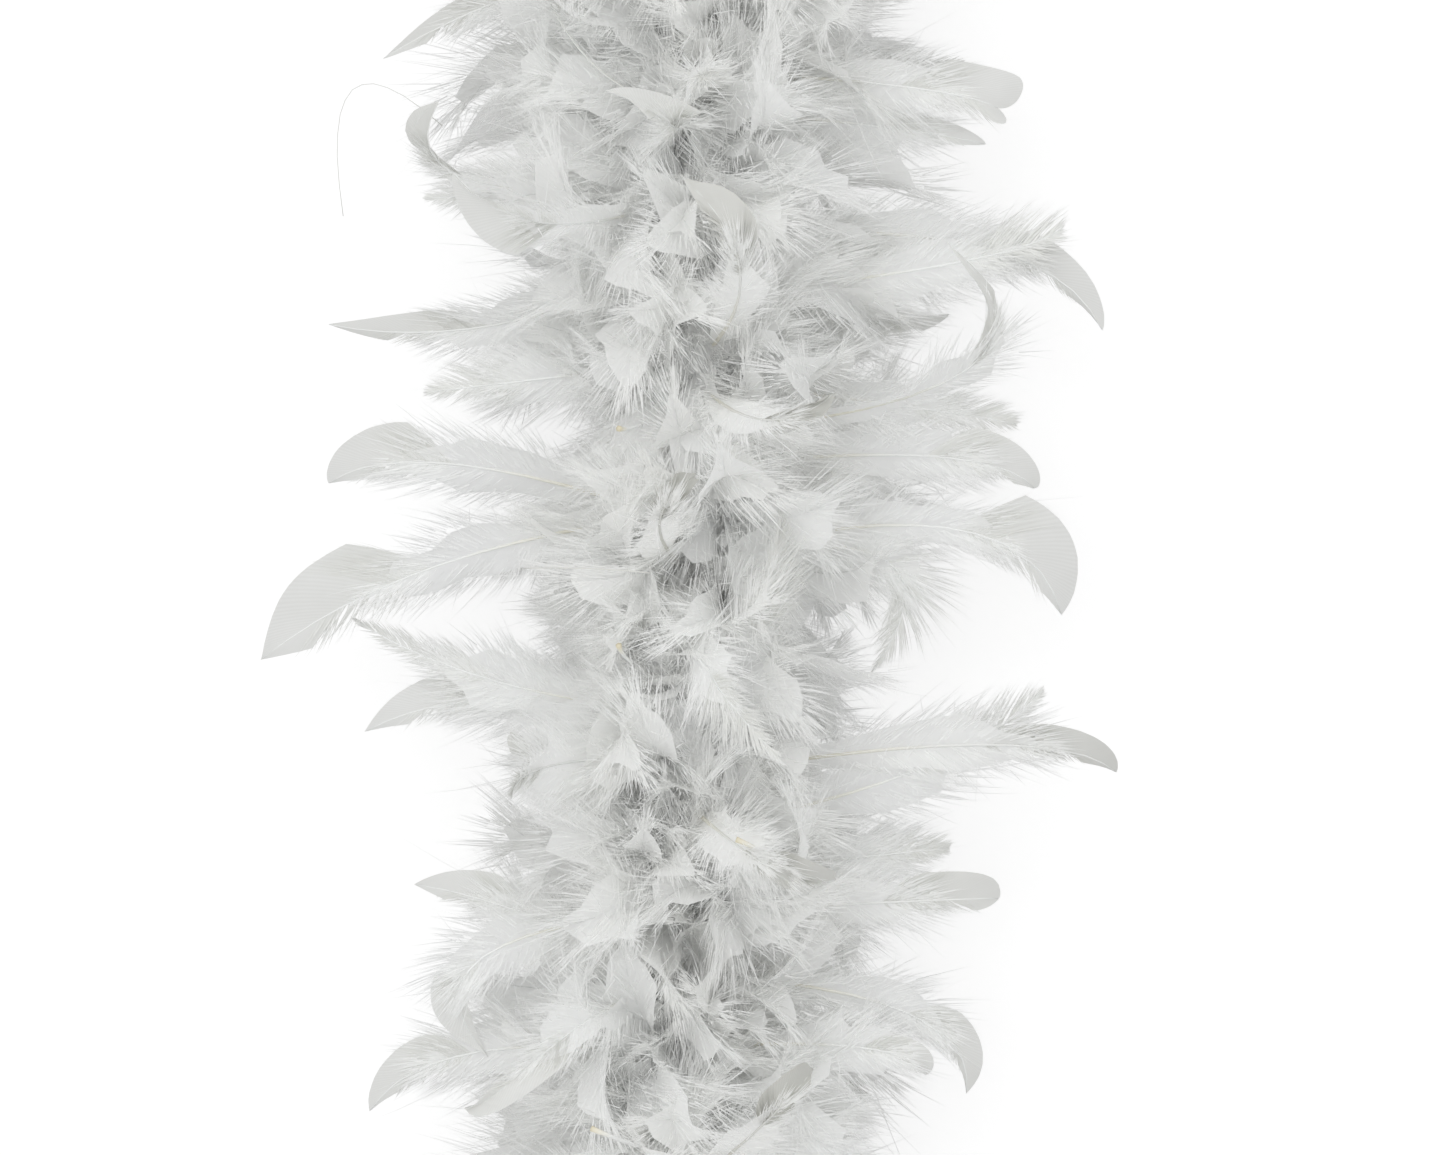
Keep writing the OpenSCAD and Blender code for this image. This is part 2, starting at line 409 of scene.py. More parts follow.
class Wander:
    """A smooth random function for each feather."""

    def __init__(self, rng, feathers, waves, size):
        each = (waves, feathers, 1)
        order = np.arange(1, waves + 1)[:, None, None]
        self.phase = rng.uniform(0, 2 * np.pi, each)
        self.rate = 2 * np.pi * order * rng.uniform(0.7, 1.3, each)
        self.size = size / waves**0.5 * order**-0.5

    def __call__(self, x):
        return np.sum(self.size * np.sin(self.rate * x + self.phase), axis=0)


class Fluff:
    """The down of a batch of feathers: how its barbs lie, as smooth functions of the way up the shaft."""

    def __init__(self, rng, spine, start, stop, longest):
        feathers = len(spine.length)
        self.rng, self.spine, self.start, self.stop, self.longest = rng, spine, start, stop, longest
        self.angle = Wander(rng, feathers, 2, 0.15)
        self.lift = Wander(rng, feathers, 2, 0.5)
        self.reach = Wander(rng, feathers, 3, 0.1)
        self.forward = Wander(rng, feathers, 2, 0.15)
        self.arch = Wander(rng, feathers, 2, 0.25)

    def barbs(self, q, hand):
        """Barbs at the stations q of the downy part, on the sides hand."""
        x = q + hand * 0.37
        swell = 0.08 + 0.92 * np.sin(np.pi * (0.03 + 0.94 * q)) ** 0.6
        return Barbs(
            at=self.start + (self.stop - self.start) * q,
            hand=hand,
            angle=np.clip(np.radians(62 - 56 * q**2) + self.angle(x) * (1 - q**4), 0.05, 1.5),
            length=self.longest[:, None] * swell * (1 + self.reach(x)),
            lift=self.lift(x) * (1 - q**3),
            forward=0.35 + self.forward(x),
            arch=self.arch(x),
        )

    def veil(self, shape, reach):
        """The soft sheet that the barbs make where they lie together."""
        rows, columns = int(shape.along.max()) + 1, int(shape.across.max()) + 1
        every = np.ones((len(self.longest), 1))
        q = np.tile(np.arange(rows) / (rows - 1), 2) * every
        hand = np.repeat([1.0, -1.0], rows) * every
        ends = reach * (1 + 2 * self.reach(3 * q + hand)) * np.sin(np.pi * q).clip(0, 1) ** 0.4
        v = ends[..., None] * np.linspace(0, 1, columns)
        path, _, _ = barb_paths(self.spine, self.barbs(q, hand), v)
        sheets = path.reshape(-1, rows, columns, 3)
        return sheets[:, shape.along.astype(int), shape.across.astype(int)]

    def hairs(self, shape, per_feather, first, last, width, stray, loose):
        """Fine strips along the barbs, from a random first station to a last one; a loose share of
        them strays further."""
        rng = self.rng
        size = (len(self.longest), per_feather)
        free = 1 + 3 * (rng.uniform(0, 1, size) < loose)
        b = self.barbs(rng.uniform(0, 1, size), rng.choice([-1.0, 1.0], size))
        b = b._replace(
            angle=b.angle + free * rng.normal(0, stray, size),
            lift=b.lift + free * rng.normal(0, stray, size),
            forward=b.forward + free * rng.normal(0, stray, size),
            arch=b.arch + free * rng.normal(0, stray, size),
        )
        start = rng.uniform(*first, size)
        stop = start + rng.uniform(*last, size)
        width = width * rng.uniform(0.6, 1.2, size)
        return barb_points(self.spine, b, start, stop, width, rng.normal(0, 0.6, size), shape)


# vane_from: where the vane starts along the shaft; half_w: its half width; corner: where it starts to
# close, as a share of it; ragged: how far its barbs part; frayed: the side, 1 or -1, that is closed
# only near the tip; camber: how much it cups; fluff_w: how far the down below it reaches
Look = namedtuple("Look", "vane_from half_w corner ragged frayed camber fluff_w")
# On its frayed side a vane is closed from this share of its length on
FRAYED_PART = 0.5
FORWARD = 0.25
HALVINGS = 14


def vane_reach(q, angle, half_w, long, corner):
    """Barb lengths that end on the vane's outline, found by halving: the outline rises over the first
    third, and closes to a point in a straight line past its corner."""
    per_length = (np.cos(angle) + FORWARD) / long
    low, high = np.zeros(q.shape), (1 - q) / per_length + 0.2 * MM
    for _ in range(HALVINGS):
        length = (low + high) / 2
        u = np.clip(q + length * per_length, 0, 1)
        closing = np.maximum((1 - u) / (1 - corner), 0.01)
        outline = (1 + closing**-4) ** -0.25 * (0.5 + 0.5 * smooth(u / 0.3))
        inside = length * np.sin(angle) < half_w * outline
        low, high = np.where(inside, length, low), np.where(inside, high, length)
    return low + 0.2 * MM


def vane_field(rng, spine, q, hand, look):
    """How the barbs of a vane lie at the stations q of its two sides."""
    bunch = np.floor(q * (4 + 5 * look.ragged) + rng.uniform(0, 1, (len(q), 1))) + hand * 7
    stray = np.sin(bunch * 91.7 + 13.1 * rng.uniform(0, 6, (len(q), 1))) * look.ragged
    angle = np.radians(44 - 36 * q**1.5) + 0.12 * stray * (1 - 0.4 * q)
    angle = np.maximum(angle, 0.07)
    long = (1 - look.vane_from) * spine.length[:, None]
    return Barbs(
        at=look.vane_from + (1 - look.vane_from) * q,
        hand=hand,
        angle=angle,
        length=vane_reach(q, angle, look.half_w * (1 - 0.3 * hand * look.frayed), long, look.corner),
        lift=0.15 * stray,
        forward=FORWARD * np.ones(q.shape),
        arch=-look.camber * np.ones(q.shape),
    )


def vane_sheet(rng, spine, look, shape):
    """The closed part of a vane, as one smooth sheet for each side."""
    rows, columns = int(shape.along.max()) + 1, int(shape.across.max()) + 1
    every = np.ones((len(spine.length), 1))
    hand = np.repeat([1.0, -1.0], rows) * every
    start = np.where(hand == look.frayed, FRAYED_PART, 0)
    q = start + (1 - start) * np.tile(np.arange(rows) / (rows - 1), 2)
    b = vane_field(rng, spine, q, hand, look)
    path, _, _ = barb_paths(spine, b, np.linspace(0, 1, columns) * np.ones((*q.shape, 1)))
    sheets = path.reshape(-1, rows, columns, 3)
    return sheets[:, shape.along.astype(int), shape.across.astype(int)]


def vane_barbs(rng, spine, look, per_side):
    """Barbs that have come apart: all of a ragged vane, or the frayed side and the foot of a closed one."""
    size = (len(spine.length), 2 * per_side)
    hand = np.repeat([1.0, -1.0], per_side) * np.ones((size[0], 1))
    part = np.where(hand == look.frayed, FRAYED_PART + 0.12, 0.25)
    q = rng.uniform(0, 1, size) * np.where(look.ragged > RAGGED, 1, part)
    b = vane_field(rng, spine, q, hand, look)
    loose = np.where(hand == look.frayed, 0.8, 0.3) + 0.3 * look.ragged
    b = b._replace(
        angle=np.maximum(b.angle + 0.1 * loose + loose * rng.normal(0, 0.12, size), 0.07),
        length=b.length * (1 + loose * rng.uniform(-0.35, 0.3, size)),
        lift=b.lift + loose * rng.normal(0, 0.15, size),
        forward=b.forward + loose * rng.normal(0, 0.15, size),
    )
    width = rng.uniform(0.16, 0.34, size) * MM
    return barb_points(spine, b, np.zeros(size), np.ones(size), width, rng.normal(0, 0.4, size), WISP)


def shaft_points(spine, shape, root_r, tip_r):
    """Places of rods that follow the spines, from one radius at the root to another at the tip."""
    t = np.broadcast_to(shape.along, (len(spine.length), len(shape.along)))
    place, s, n = (on_spine(r, t) for r in (spine.place, spine.side, spine.normal))
    r = (root_r + (tip_r - root_r) * t**0.7)[..., None] * shape.across[:, None]
    return place + r * (np.cos(shape.turn)[:, None] * s + np.sin(shape.turn)[:, None] * n)


NEEDLE = strip_shape(1)
SHORT = strip_shape(2)
WISP = strip_shape(3)
SHAFT = rod_shape(6, 3)
BEST_SHAFT = rod_shape(12, 6)
DOWN, VANE, QUILL = 0, 1, 2

# How finely feathers are made: near ones in the run, and the rest in the coil. feathers: for each
# section; needles and wisps: straight and curved hairs for each feather; skirt: the share of them on a
# long feather; vane_rows: loose barbs on each side of a vane
Grade = namedtuple("Grade", "feathers veil needles needle_w wisps wisp_w wisp skirt vane vane_rows shaft")
NEAR = Grade(
    feathers=93, veil=veil_shape(11, 4), needles=480, needle_w=0.28 * MM, wisps=64, wisp_w=0.2 * MM,
    wisp=WISP, skirt=1.7, vane=veil_shape(22, 5), vane_rows=130, shaft=BEST_SHAFT,
)
FAR = Grade(
    feathers=64, veil=veil_shape(8, 3), needles=120, needle_w=0.6 * MM, wisps=26, wisp_w=0.4 * MM,
    wisp=SHORT, skirt=0.9, vane=veil_shape(10, 3), vane_rows=30, shaft=SHAFT,
)


# How far along the barbs their veil reaches
VEIL_REACH = 0.55


def add_down(plumage, rng, fluff, tone, grade, share):
    """The veils of a batch of downy feathers, and a share of the grade's hairs."""
    veil = grade.veil
    across = veil.across / veil.across.max() / 2
    plumage.add(veil, fluff.veil(veil, VEIL_REACH), np.repeat(tone, 2), across, DOWN)
    needles, wisps = int(grade.needles * share), int(grade.wisps * share)
    sets = (
        # shape, count, range of the first station, range of the length, width, stray, loose share
        (NEEDLE, needles, (0.05, 0.7), (0.2, 0.5), grade.needle_w, 0.07, 0.12),
        (grade.wisp, wisps, (0.1, 0.5), (0.5, 0.8), grade.wisp_w, 0.13, 0.2),
    )
    for shape, count, first, last, width, stray, loose in sets:
        points = fluff.hairs(shape, count, first, last, width, stray, loose)
        tones = np.repeat(tone, count) + rng.normal(0, 0.12, len(tone) * count)
        plumage.add(shape, points, tones, shape.along, DOWN)


def grow_down(plumage, rng, spine, tone, longest, grade, share):
    """Down feathers: free barbs all the way, on a fine shaft."""
    add_down(plumage, rng, Fluff(rng, spine, 0.08, 1.0, longest), tone, grade, share)
    plumage.add(SHAFT, shaft_points(spine, SHAFT, 0.3 * MM, 0.08 * MM), tone, SHAFT.along, QUILL)


# Stripes of painted shade in the grooves along a closed vane; the share of a long feather's grey that its
# down has; and how ragged a vane is whose barbs have all come apart
STRIPES = 34
SKIRT_TONE = 0.3
RAGGED = 0.5


def chosen(spine, look, tone, which):
    """The spines, looks and tones of some of the feathers, with the looks as columns."""
    look = Look(*(np.asarray(value, float)[which, None] for value in look))
    return Spine(*(rows[which] for rows in spine)), look, tone[which]


def grow_long(plumage, rng, spine, tone, look, grade):
    """Long feathers: down on the lower part of the shaft, and a vane on the rest, closed or ragged."""
    fluff = Fluff(rng, spine, 0.12, look.vane_from[:, None] + 0.16, look.fluff_w)
    add_down(plumage, rng, fluff, tone * SKIRT_TONE, grade, grade.skirt)
    for ragged in (False, True):
        s, l, tones = chosen(spine, look, tone, (look.ragged > RAGGED) == ragged)
        if not len(tones):
            continue
        if not ragged:
            sheet = grade.vane
            rows = sheet.along / sheet.along.max() * STRIPES
            plumage.add(sheet, vane_sheet(rng, s, l, sheet), np.repeat(tones, 2), rows, VANE)
        count = grade.vane_rows if ragged else grade.vane_rows // 2
        points = vane_barbs(rng, s, l, count)
        plumage.add(WISP, points, np.repeat(tones, 2 * count), 0.75, VANE)
    shaft = grade.shaft
    plumage.add(shaft, shaft_points(spine, shaft, 0.6 * MM, 0.1 * MM), tone, shaft.along, QUILL)


# ---- where the feathers stand round the core ----

# How far the body of down reaches on the two sides of the run, by height in the view
BODY_Y = np.array([-150, -105, -75, -50, -28, -5, 20, 60, 100, 150]) * MM
LEFT_REACH = np.array([55, 50, 43, 38, 42, 34, 42, 44, 54, 50])
RIGHT_REACH = np.array([44, 46, 50, 48, 33, 50, 50, 56, 52, 44])
PLAIN_REACH = 48


def body_reach(s, angle):
    """Reach of the down in a direction round the core, against the plain reach."""
    y = core_at(s)[:, 1] - VIEW_Y
    left = np.interp(y, BODY_Y, LEFT_REACH, PLAIN_REACH, PLAIN_REACH)
    right = np.interp(y, BODY_Y, RIGHT_REACH, PLAIN_REACH, PLAIN_REACH)
    on_run = s < RUN_LENGTH
    side = np.cos(angle)
    reach = PLAIN_REACH + np.where(side > 0, right - PLAIN_REACH, left - PLAIN_REACH) * np.abs(side)
    return np.where(on_run, reach, PLAIN_REACH) / PLAIN_REACH


def directions(s, angle, lean):
    """Direction away from the core at an angle round it, leant along it."""
    ahead, inner, up = core_axes(s)
    out = np.cos(angle)[:, None] * inner + np.sin(angle)[:, None] * up
    return unit(out * np.cos(lean)[:, None] + ahead * np.sin(lean)[:, None]), ahead, out


GOLDEN = np.radians(137.508)


def section_feathers(rng, section, count):
    """Where a section's feathers leave the core: arc lengths, and angles round it."""
    lo = max(BARE_END, (section - 1) * SECTION_LENGTH)
    hi = min(BOA_LENGTH - BARE_END, section * SECTION_LENGTH)
    s = lo + (hi - lo) * (np.arange(count) + rng.uniform(0, 1, count)) / count
    angle = (section * count + np.arange(count)) * GOLDEN + rng.normal(0, 0.3, count)
    return s, angle


def random_side(rng, ahead):
    """A random direction square to each of the directions."""
    side = rng.normal(0, 1, ahead.shape)
    return unit(np.cross(ahead, side))


def down_section(section, grade, rng):
    """Down feathers all round the core, shorter ones that curl over on top, and a dense inner crowd."""
    plumage = Plumage()
    sets = (
        # share of the feathers, share of the barbs, length, curl, lean, spread of places from the top
        (1.0, 1.0, 44, (25, 120), (0, 0.8), None),
        (0.6, 0.9, 40, (50, 125), (0.4, 1.2), 0.85),
        (0.7, 0.45, 32, (40, 120), (0.7, 1.35), 1.3),
    )
    for crowd, share, reach, curl, lean, spread in sets:
        count = int(grade.feathers * crowd)
        s, angle = section_feathers(rng, section, count)
        if spread:
            angle = np.pi / 2 + rng.uniform(-spread, spread, count)
        ahead, _, out = directions(s, angle, rng.uniform(*lean, count) * rng.choice([-1.0, 1.0], count))
        size = body_reach(s, angle) * rng.uniform(0.82, 1.12, count)
        spine = spines(
            core_at(s) + out * CORE_D / 2,
            ahead,
            random_side(rng, ahead),
            reach * MM * size,
            np.radians(rng.uniform(*curl, count)),
            np.radians(rng.normal(0, 22, count)),
            np.radians(rng.normal(0, 30, count)),
            0.2,
        )
        tone = np.clip(rng.normal(0.22, 0.16, count), 0, 1)
        grow_down(plumage, rng, spine, tone, 0.38 * reach * MM * size, grade, share)
    return plumage


LONG_PER_SECTION = 12


def long_section(section, grade, rng, count):
    """Long feathers that stand out of the down at random, low ones shorter."""
    s, angle = section_feathers(rng, section, count)
    ahead, _, out = directions(s, angle, rng.normal(0, 0.45, count))
    low = np.clip(-np.sin(angle), 0, 1)
    spine = spines(
        core_at(s) + out * CORE_D / 2,
        ahead,
        random_side(rng, ahead),
        rng.uniform(58, 80, count) * MM * (1 - 0.25 * low),
        np.radians(rng.uniform(25, 110, count)),
        np.radians(rng.normal(0, 16, count)),
        np.radians(rng.normal(0, 45, count)),
        0.3,
    )
    look = Look(
        vane_from=rng.uniform(0.5, 0.66, count),
        half_w=rng.uniform(3, 6.5, count) * MM,
        corner=rng.uniform(0.25, 0.75, count),
        ragged=rng.choice([0.1, 0.9, 0.9], count),
        frayed=rng.choice([1, -1], count),
        camber=rng.uniform(0.05, 0.35, count),
        fluff_w=rng.uniform(13, 18, count) * MM,
    )
    plumage = Plumage()
    grow_long(plumage, rng, spine, rng.uniform(0.05, 0.6, count), look, grade)
    return plumage


# The long feathers of the run that stand out most, in millimetres from the middle of the view: where each
# leaves the core, a point half way up, its tip, its half width, its roll and twist in degrees, where its
# vane starts to close, how far the barbs part, and how grey it is (on two feathers on top, partly painted
# shade)
Placed = namedtuple("Placed", "core middle tip half_w roll twist corner ragged grey")
LEFT = (
    Placed(140, (-46, 129, 50), (-75, 115, 48), 5, 20, 20, 0.35, 0.1, 0.36),
    Placed(86, (-56, 88, 60), (-63, 105, 68), 6, 40, 30, 0.45, 0.1, 0.36),
    Placed(70, (-50, 56, 48), (-87, 56, 50), 4, -20, 0, 0.45, 0.15, 0.3),
    Placed(90, (-40, 86, 52), (-66, 84, 50), 6, 0, 0, 0.6, 0.9, 0.0),
    Placed(48, (-40, 44, 50), (-66, 41, 48), 6, 0, 0, 0.6, 0.9, 0.0),
    Placed(12, (-58, 25, 55), (-87, 21, 50), 6.5, -15, 0, 0.45, 0.12, 0.24),
    Placed(14, (-62, 3, 55), (-102, -18, 48), 9, 0, 10, 0.62, 0.1, 0.21),
    Placed(-30, (-50, -23, 52), (-82, -9, 50), 4, 10, 0, 0.5, 0.9, 0.12),
    Placed(-34, (-48, -27, 50), (-79, -34, 46), 5, 0, 0, 0.5, 0.4, 0.12),
    Placed(-46, (-34, -43, 66), (-47, -35, 70), 4, 25, 0, 0.4, 0.1, 0.6),
    Placed(-90, (-42, -75, 56), (-68, -68, 52), 5, 0, 10, 0.4, 0.1, 0.3),
    Placed(-74, (-53, -84, 62), (-52, -106, 50), 3.8, 20, -20, 0.6, 0.1, 0.1),
    Placed(-106, (-54, -105, 50), (-78, -118, 46), 5, 0, 0, 0.4, 0.25, 0.24),
)
RIGHT = (
    Placed(112, (38, 109, 55), (61, 104, 55), 5.5, 0, 0, 0.85, 0.1, 0.18),
    Placed(104, (34, 100, 50), (58, 96, 48), 3, 0, 0, 0.4, 0.4, 0.12),
    Placed(62, (48, 69, 55), (75, 77, 55), 7, 0, 0, 0.6, 1.0, 0.04),
    Placed(74, (54, 74, 50), (84, 55, 46), 5, 20, 10, 0.35, 0.15, 0.24),
    Placed(32, (54, 46, 68), (50, 74, 74), 4, 50, 0, 0.4, 0.1, 0.4),
    Placed(44, (40, 38, 50), (65, 34, 48), 5, 0, 0, 0.5, 1.0, 0.04),
    Placed(24, (44, 27, 52), (69, 20, 50), 6, 0, 0, 0.35, 0.12, 0.2),
    Placed(4, (50, 11, 55), (75, -8, 48), 8, 0, 0, 0.5, 0.12, 0.16),
    Placed(4, (36, 4, 52), (33, -21, 46), 8, 0, 0, 0.6, 1.0, 0.0),
    Placed(-56, (42, -43, 55), (71, -25, 55), 6.5, 0, 0, 0.6, 0.9, 0.04),
    Placed(-44, (56, -37, 60), (87, -43, 54), 3.8, 20, 0, 0.5, 0.1, 0.6),
    Placed(-66, (30, -62, 52), (50, -60, 50), 4, 0, 0, 0.6, 0.6, 0.1),
    Placed(-74, (34, -72, 60), (61, -71, 58), 4.5, 10, 0, 0.7, 0.2, 0.36),
    Placed(-88, (40, -96, 52), (54, -114, 46), 4.5, 10, 0, 0.35, 0.1, 0.3),
    Placed(-104, (30, -104, 56), (45, -110, 54), 3, 0, 0, 0.5, 0.1, 0.24),
)
# The grey of the second and third feathers on top is partly their own grey and partly painted shade, where
# they lie edge-on and shaded.
ON_TOP = (
    Placed(46, (4, 66, 93), (-9, 89, 96), 5, 30, 0, 0.5, 0.1, 0.7),
    Placed(46, (8, 35, 94), (25, 41, 97), 4.5, -40, 0, 0.4, 0.1, 1.0),
    Placed(2, (-14, 12, 94), (-6, 23, 97), 4, 25, 0, 0.5, 0.05, 1.5),
    Placed(-48, (8, -62, 94), (25, -67, 93), 3.5, 40, 0, 0.5, 0.15, 0.9),
    Placed(-50, (4, -60, 95), (19, -70, 95), 3, -30, 0, 0.4, 0.15, 0.7),
    Placed(-136, (8, -122, 93), (20, -109, 96), 4, 20, 0, 0.4, 0.05, 1.4),
)


def placed(points):
    """Places on the table's side of the lens where points of the view are, at their own height."""
    x, y, z = np.moveaxis(np.asarray(points, float) * MM, -1, 0)
    nearer = (CAMERA_Z - z) / (CAMERA_Z - CORE_Z)
    return np.stack([VIEW_X + x * nearer, VIEW_Y + y * nearer, z], axis=-1)


def bowed(first, middle, last):
    """Points along curves that start at first, pass middle half way, and end at last."""
    u = np.linspace(0, 1, STEPS + 1)[:, None]
    pull = 2 * middle - (first + last) / 2
    first, pull, last = first[:, None], pull[:, None], last[:, None]
    return first * (1 - u) ** 2 + pull * 2 * u * (1 - u) + last * u**2


def placed_spines(feathers):
    """Centre lines of placed feathers, turned by their roll and twist."""
    core = np.array([core_at(VIEW_Y + f.core * MM - RUN_START[1]) for f in feathers])
    place = bowed(core, placed([f.middle for f in feathers]), placed([f.tip for f in feathers]))
    ahead = unit(np.gradient(place, axis=1))
    side = unit(np.cross([0.0, 0.0, 1.0], ahead))
    normal = np.cross(ahead, side)
    roll, twist = (np.radians([getattr(f, key) for f in feathers])[:, None] for key in ("roll", "twist"))
    turn = roll + twist * np.linspace(0, 1, STEPS + 1)
    c, s = np.cos(turn)[..., None], np.sin(turn)[..., None]
    length = np.linalg.norm(np.diff(place, axis=1), axis=2).sum(axis=1)
    return Spine(place, ahead, side * c + normal * s, normal * c - side * s, length)


def section_of(feather):
    """The section of the core that a placed feather grows from."""
    return 1 + int((VIEW_Y + feather.core * MM - RUN_START[1]) / SECTION_LENGTH)


# The vane starts a little past the middle of a placed feather's shaft
PLACED_VANE_FROM = 0.52
PLACED_CAMBER = 0.15


def grow_placed(plumage, rng, feathers, grade):
    """The placed feathers of one section; the side towards the boa's foot is frayed."""
    column = lambda key: np.array([getattr(f, key) for f in feathers], float)
    count = len(feathers)
    look = Look(
        vane_from=np.full(count, PLACED_VANE_FROM),
        half_w=column("half_w") * MM,
        corner=column("corner"),
        ragged=column("ragged"),
        frayed=np.array([1 if f.tip[0] < 0 else -1 for f in feathers]),
        camber=np.full(count, PLACED_CAMBER),
        fluff_w=rng.uniform(11, 15, count) * MM,
    )
    grow_long(plumage, rng, placed_spines(feathers), column("grey"), look, grade)


# Quill butts that show in the down, one bare shaft line, and one stray filament
QUILL_BUTTS = (
    ((-29, -122, 92), (-24, -124, 91), (-18, -126, 84)),
    ((-23, -15, 93), (-22, -17, 89), (-20, -19, 82)),
    ((-23, 33, 93), (-21, 33, 89), (-18, 34, 82)),
    ((3, -58, 97), (9, -61, 96), (16, -66, 93)),
)
BARE_SHAFTS = (
    ((-16, 1, 92), (-30, 2, 91), (-44, 2, 82)),
    ((-14, 105, 84), (-28, 113, 86), (-38, 127, 80)),
)
FILAMENT = ((-62, 100, 58), (-82, 108, 58), (-84, 80, 50))


def grow_bare(plumage):
    """Bare shafts: rods of quill from thick ends to fine ones."""
    for curves, root_r, tip_r, grey in (
        (QUILL_BUTTS, 0.7 * MM, 0.3 * MM, 0.5),
        (BARE_SHAFTS, 0.2 * MM, 0.12 * MM, 1.6),
        ((FILAMENT,), 0.12 * MM, 0.1 * MM, 1.0),
    ):
        first, middle, last = (placed([c[i] for c in curves]) for i in range(3))
        place = bowed(first, middle, last)
        ahead = unit(np.gradient(place, axis=1))
        side = unit(np.cross([0.0, 0.0, 1.0], ahead))
        spine = Spine(place, ahead, side, np.cross(ahead, side), np.ones(len(curves)))
        points = shaft_points(spine, BEST_SHAFT, root_r, tip_r)
        along = BEST_SHAFT.along if curves is QUILL_BUTTS else 0.7 + 0.3 * BEST_SHAFT.along
        plumage.add(BEST_SHAFT, points, np.full(len(curves), grey), along, QUILL)


# ---- materials ----


class Value:
    """An output that adds Math nodes when it is used in an expression."""

    def __init__(self, shader, socket):
        self.shader, self.socket = shader, socket

    def maths(self, operation, a, b):
        return self.shader.node("ShaderNodeMath", {"operation": operation}, {0: a, 1: b})

    def __add__(self, other):
        return self.maths("ADD", self, other)

    def __sub__(self, other):
        return self.maths("SUBTRACT", self, other)

    def __rsub__(self, other):
        return self.maths("SUBTRACT", other, self)

    def __mul__(self, other):
        return self.maths("MULTIPLY", self, other)

    def sine(self):
        return self.shader.node("ShaderNodeMath", {"operation": "SINE"}, {0: self})

    __radd__ = __add__
    __rmul__ = __mul__


class Shader:
    """Builds the nodes of one material, or of the world."""

    def __init__(self, owner):
        self.owner = owner
        owner.use_nodes = True
        self.tree = owner.node_tree
        self.tree.nodes.clear()

    def node(self, kind, settings=None, sockets=None, output=0):
        """Adds a node: its settings first, then the values or links of its sockets."""
        n = self.tree.nodes.new(kind)
        for key, value in (settings or {}).items():
            if key == "stops":
                for i, (at, colour) in enumerate(value):
                    stop = n.color_ramp.elements[i] if i < 2 else n.color_ramp.elements.new(at)
                    stop.position, stop.color = at, (*colour, 1)
            else:
                setattr(n, key, value)
        for key, value in (sockets or {}).items():
            socket = n.inputs[key]
            if isinstance(value, Value):
                self.tree.links.new(value.socket, socket)
            else:
                socket.default_value = value
        return Value(self, n.outputs[output]) if len(n.outputs) else None

    def finish(self, surface, kind="ShaderNodeOutputMaterial"):
        """Joins the surface to the output, and gives what the nodes were built for."""
        self.node(kind, {}, {"Surface": surface})
        return self.owner

    def attribute(self, name):
        """A number that the mesh holds for each of its points."""
        return self.node("ShaderNodeAttribute", {"attribute_name": name}, output=2)

    def noise(self, scale, detail=2.0):
        place = self.node("ShaderNodeTexCoord", output=3)
        return self.node("ShaderNodeTexNoise", {}, {"Vector": place, "Scale": scale, "Detail": detail})

    def ramp(self, factor, *stops):
        return self.node("ShaderNodeValToRGB", {"stops": stops}, {"Fac": factor})

    def mix(self, factor, a, b):
        settings = {"data_type": "RGBA"}
        return self.node("ShaderNodeMix", settings, {0: factor, 6: a, 7: b}, output=2)


def feather_solid(m, colour, through, share, rough, sheen):
    """A feather's surface, which passes a share of the light through."""
    solid = m.node("ShaderNodeBsdfPrincipled", {}, {
        "Base Color": colour,
        "Roughness": rough,
        "Sheen Weight": sheen,
        "Specular IOR Level": 0.25,
    })
    light = m.node("ShaderNodeBsdfTranslucent", {}, {"Color": through})
    return m.finish(m.node("ShaderNodeMixShader", {}, {0: share, 1: solid, 2: light}))


def down_material(name, cool, warm, ends):
    """Down in patches of cool and warm white, greyed towards the ends of its barbs with painted shade."""
    m = Shader(bpy.data.materials.new(name))
    patches = m.noise(38, 3) * 0.5 - 0.25
    colour = m.mix(m.attribute("tone") + patches, (*cool, 1), (*warm, 1))
    along = m.attribute("along")
    # Painted shade: the ends colour greys the down towards the ends of its barbs.
    colour = m.mix(along * along * 0.45, colour, (*ends, 1))
    return feather_solid(m, colour, (0.975, 0.975, 0.965, 1), 0.5, 0.9, 0.1)


def vane_material(name, cool, warm, groove_shade):
    """A vane from white to beige grey, with fine stripes of painted shade in the grooves between its barbs.
    """
    m = Shader(bpy.data.materials.new(name))
    patches = m.noise(60, 3) * 0.4 - 0.2
    colour = m.mix(m.attribute("tone") + patches, (*cool, 1), (*warm, 1))
    stripes = (m.attribute("along") * (2 * np.pi)).sine() * 0.5 + 0.5
    # Painted shade: the stripes darken the vane towards the groove colour between its barbs.
    colour = m.mix(stripes * 0.25, colour, (*groove_shade, 1))
    share = 0.38 - m.attribute("tone") * 0.18
    return feather_solid(m, colour, (0.9, 0.9, 0.87, 1), share, 0.55, 0.1)


def quill_material(name):
    """A shaft that is amber at its butt and pale above, greyer on grey feathers."""
    m = Shader(bpy.data.materials.new(name))
    along = m.attribute("along") + (m.noise(120) * 0.1 - 0.05)
    amber, cream, pale = (0.74, 0.66, 0.45), (0.84, 0.81, 0.7), (0.84, 0.85, 0.84)
    colour = m.ramp(along, (0.0, amber), (0.2, cream), (0.45, pale))
    colour = m.mix(m.attribute("tone") * 0.5, colour, (0.6, 0.6, 0.56, 1))
    return m.finish(m.node("ShaderNodeBsdfPrincipled", {}, {
        "Base Color": colour,
        "Roughness": 0.45,
    }))


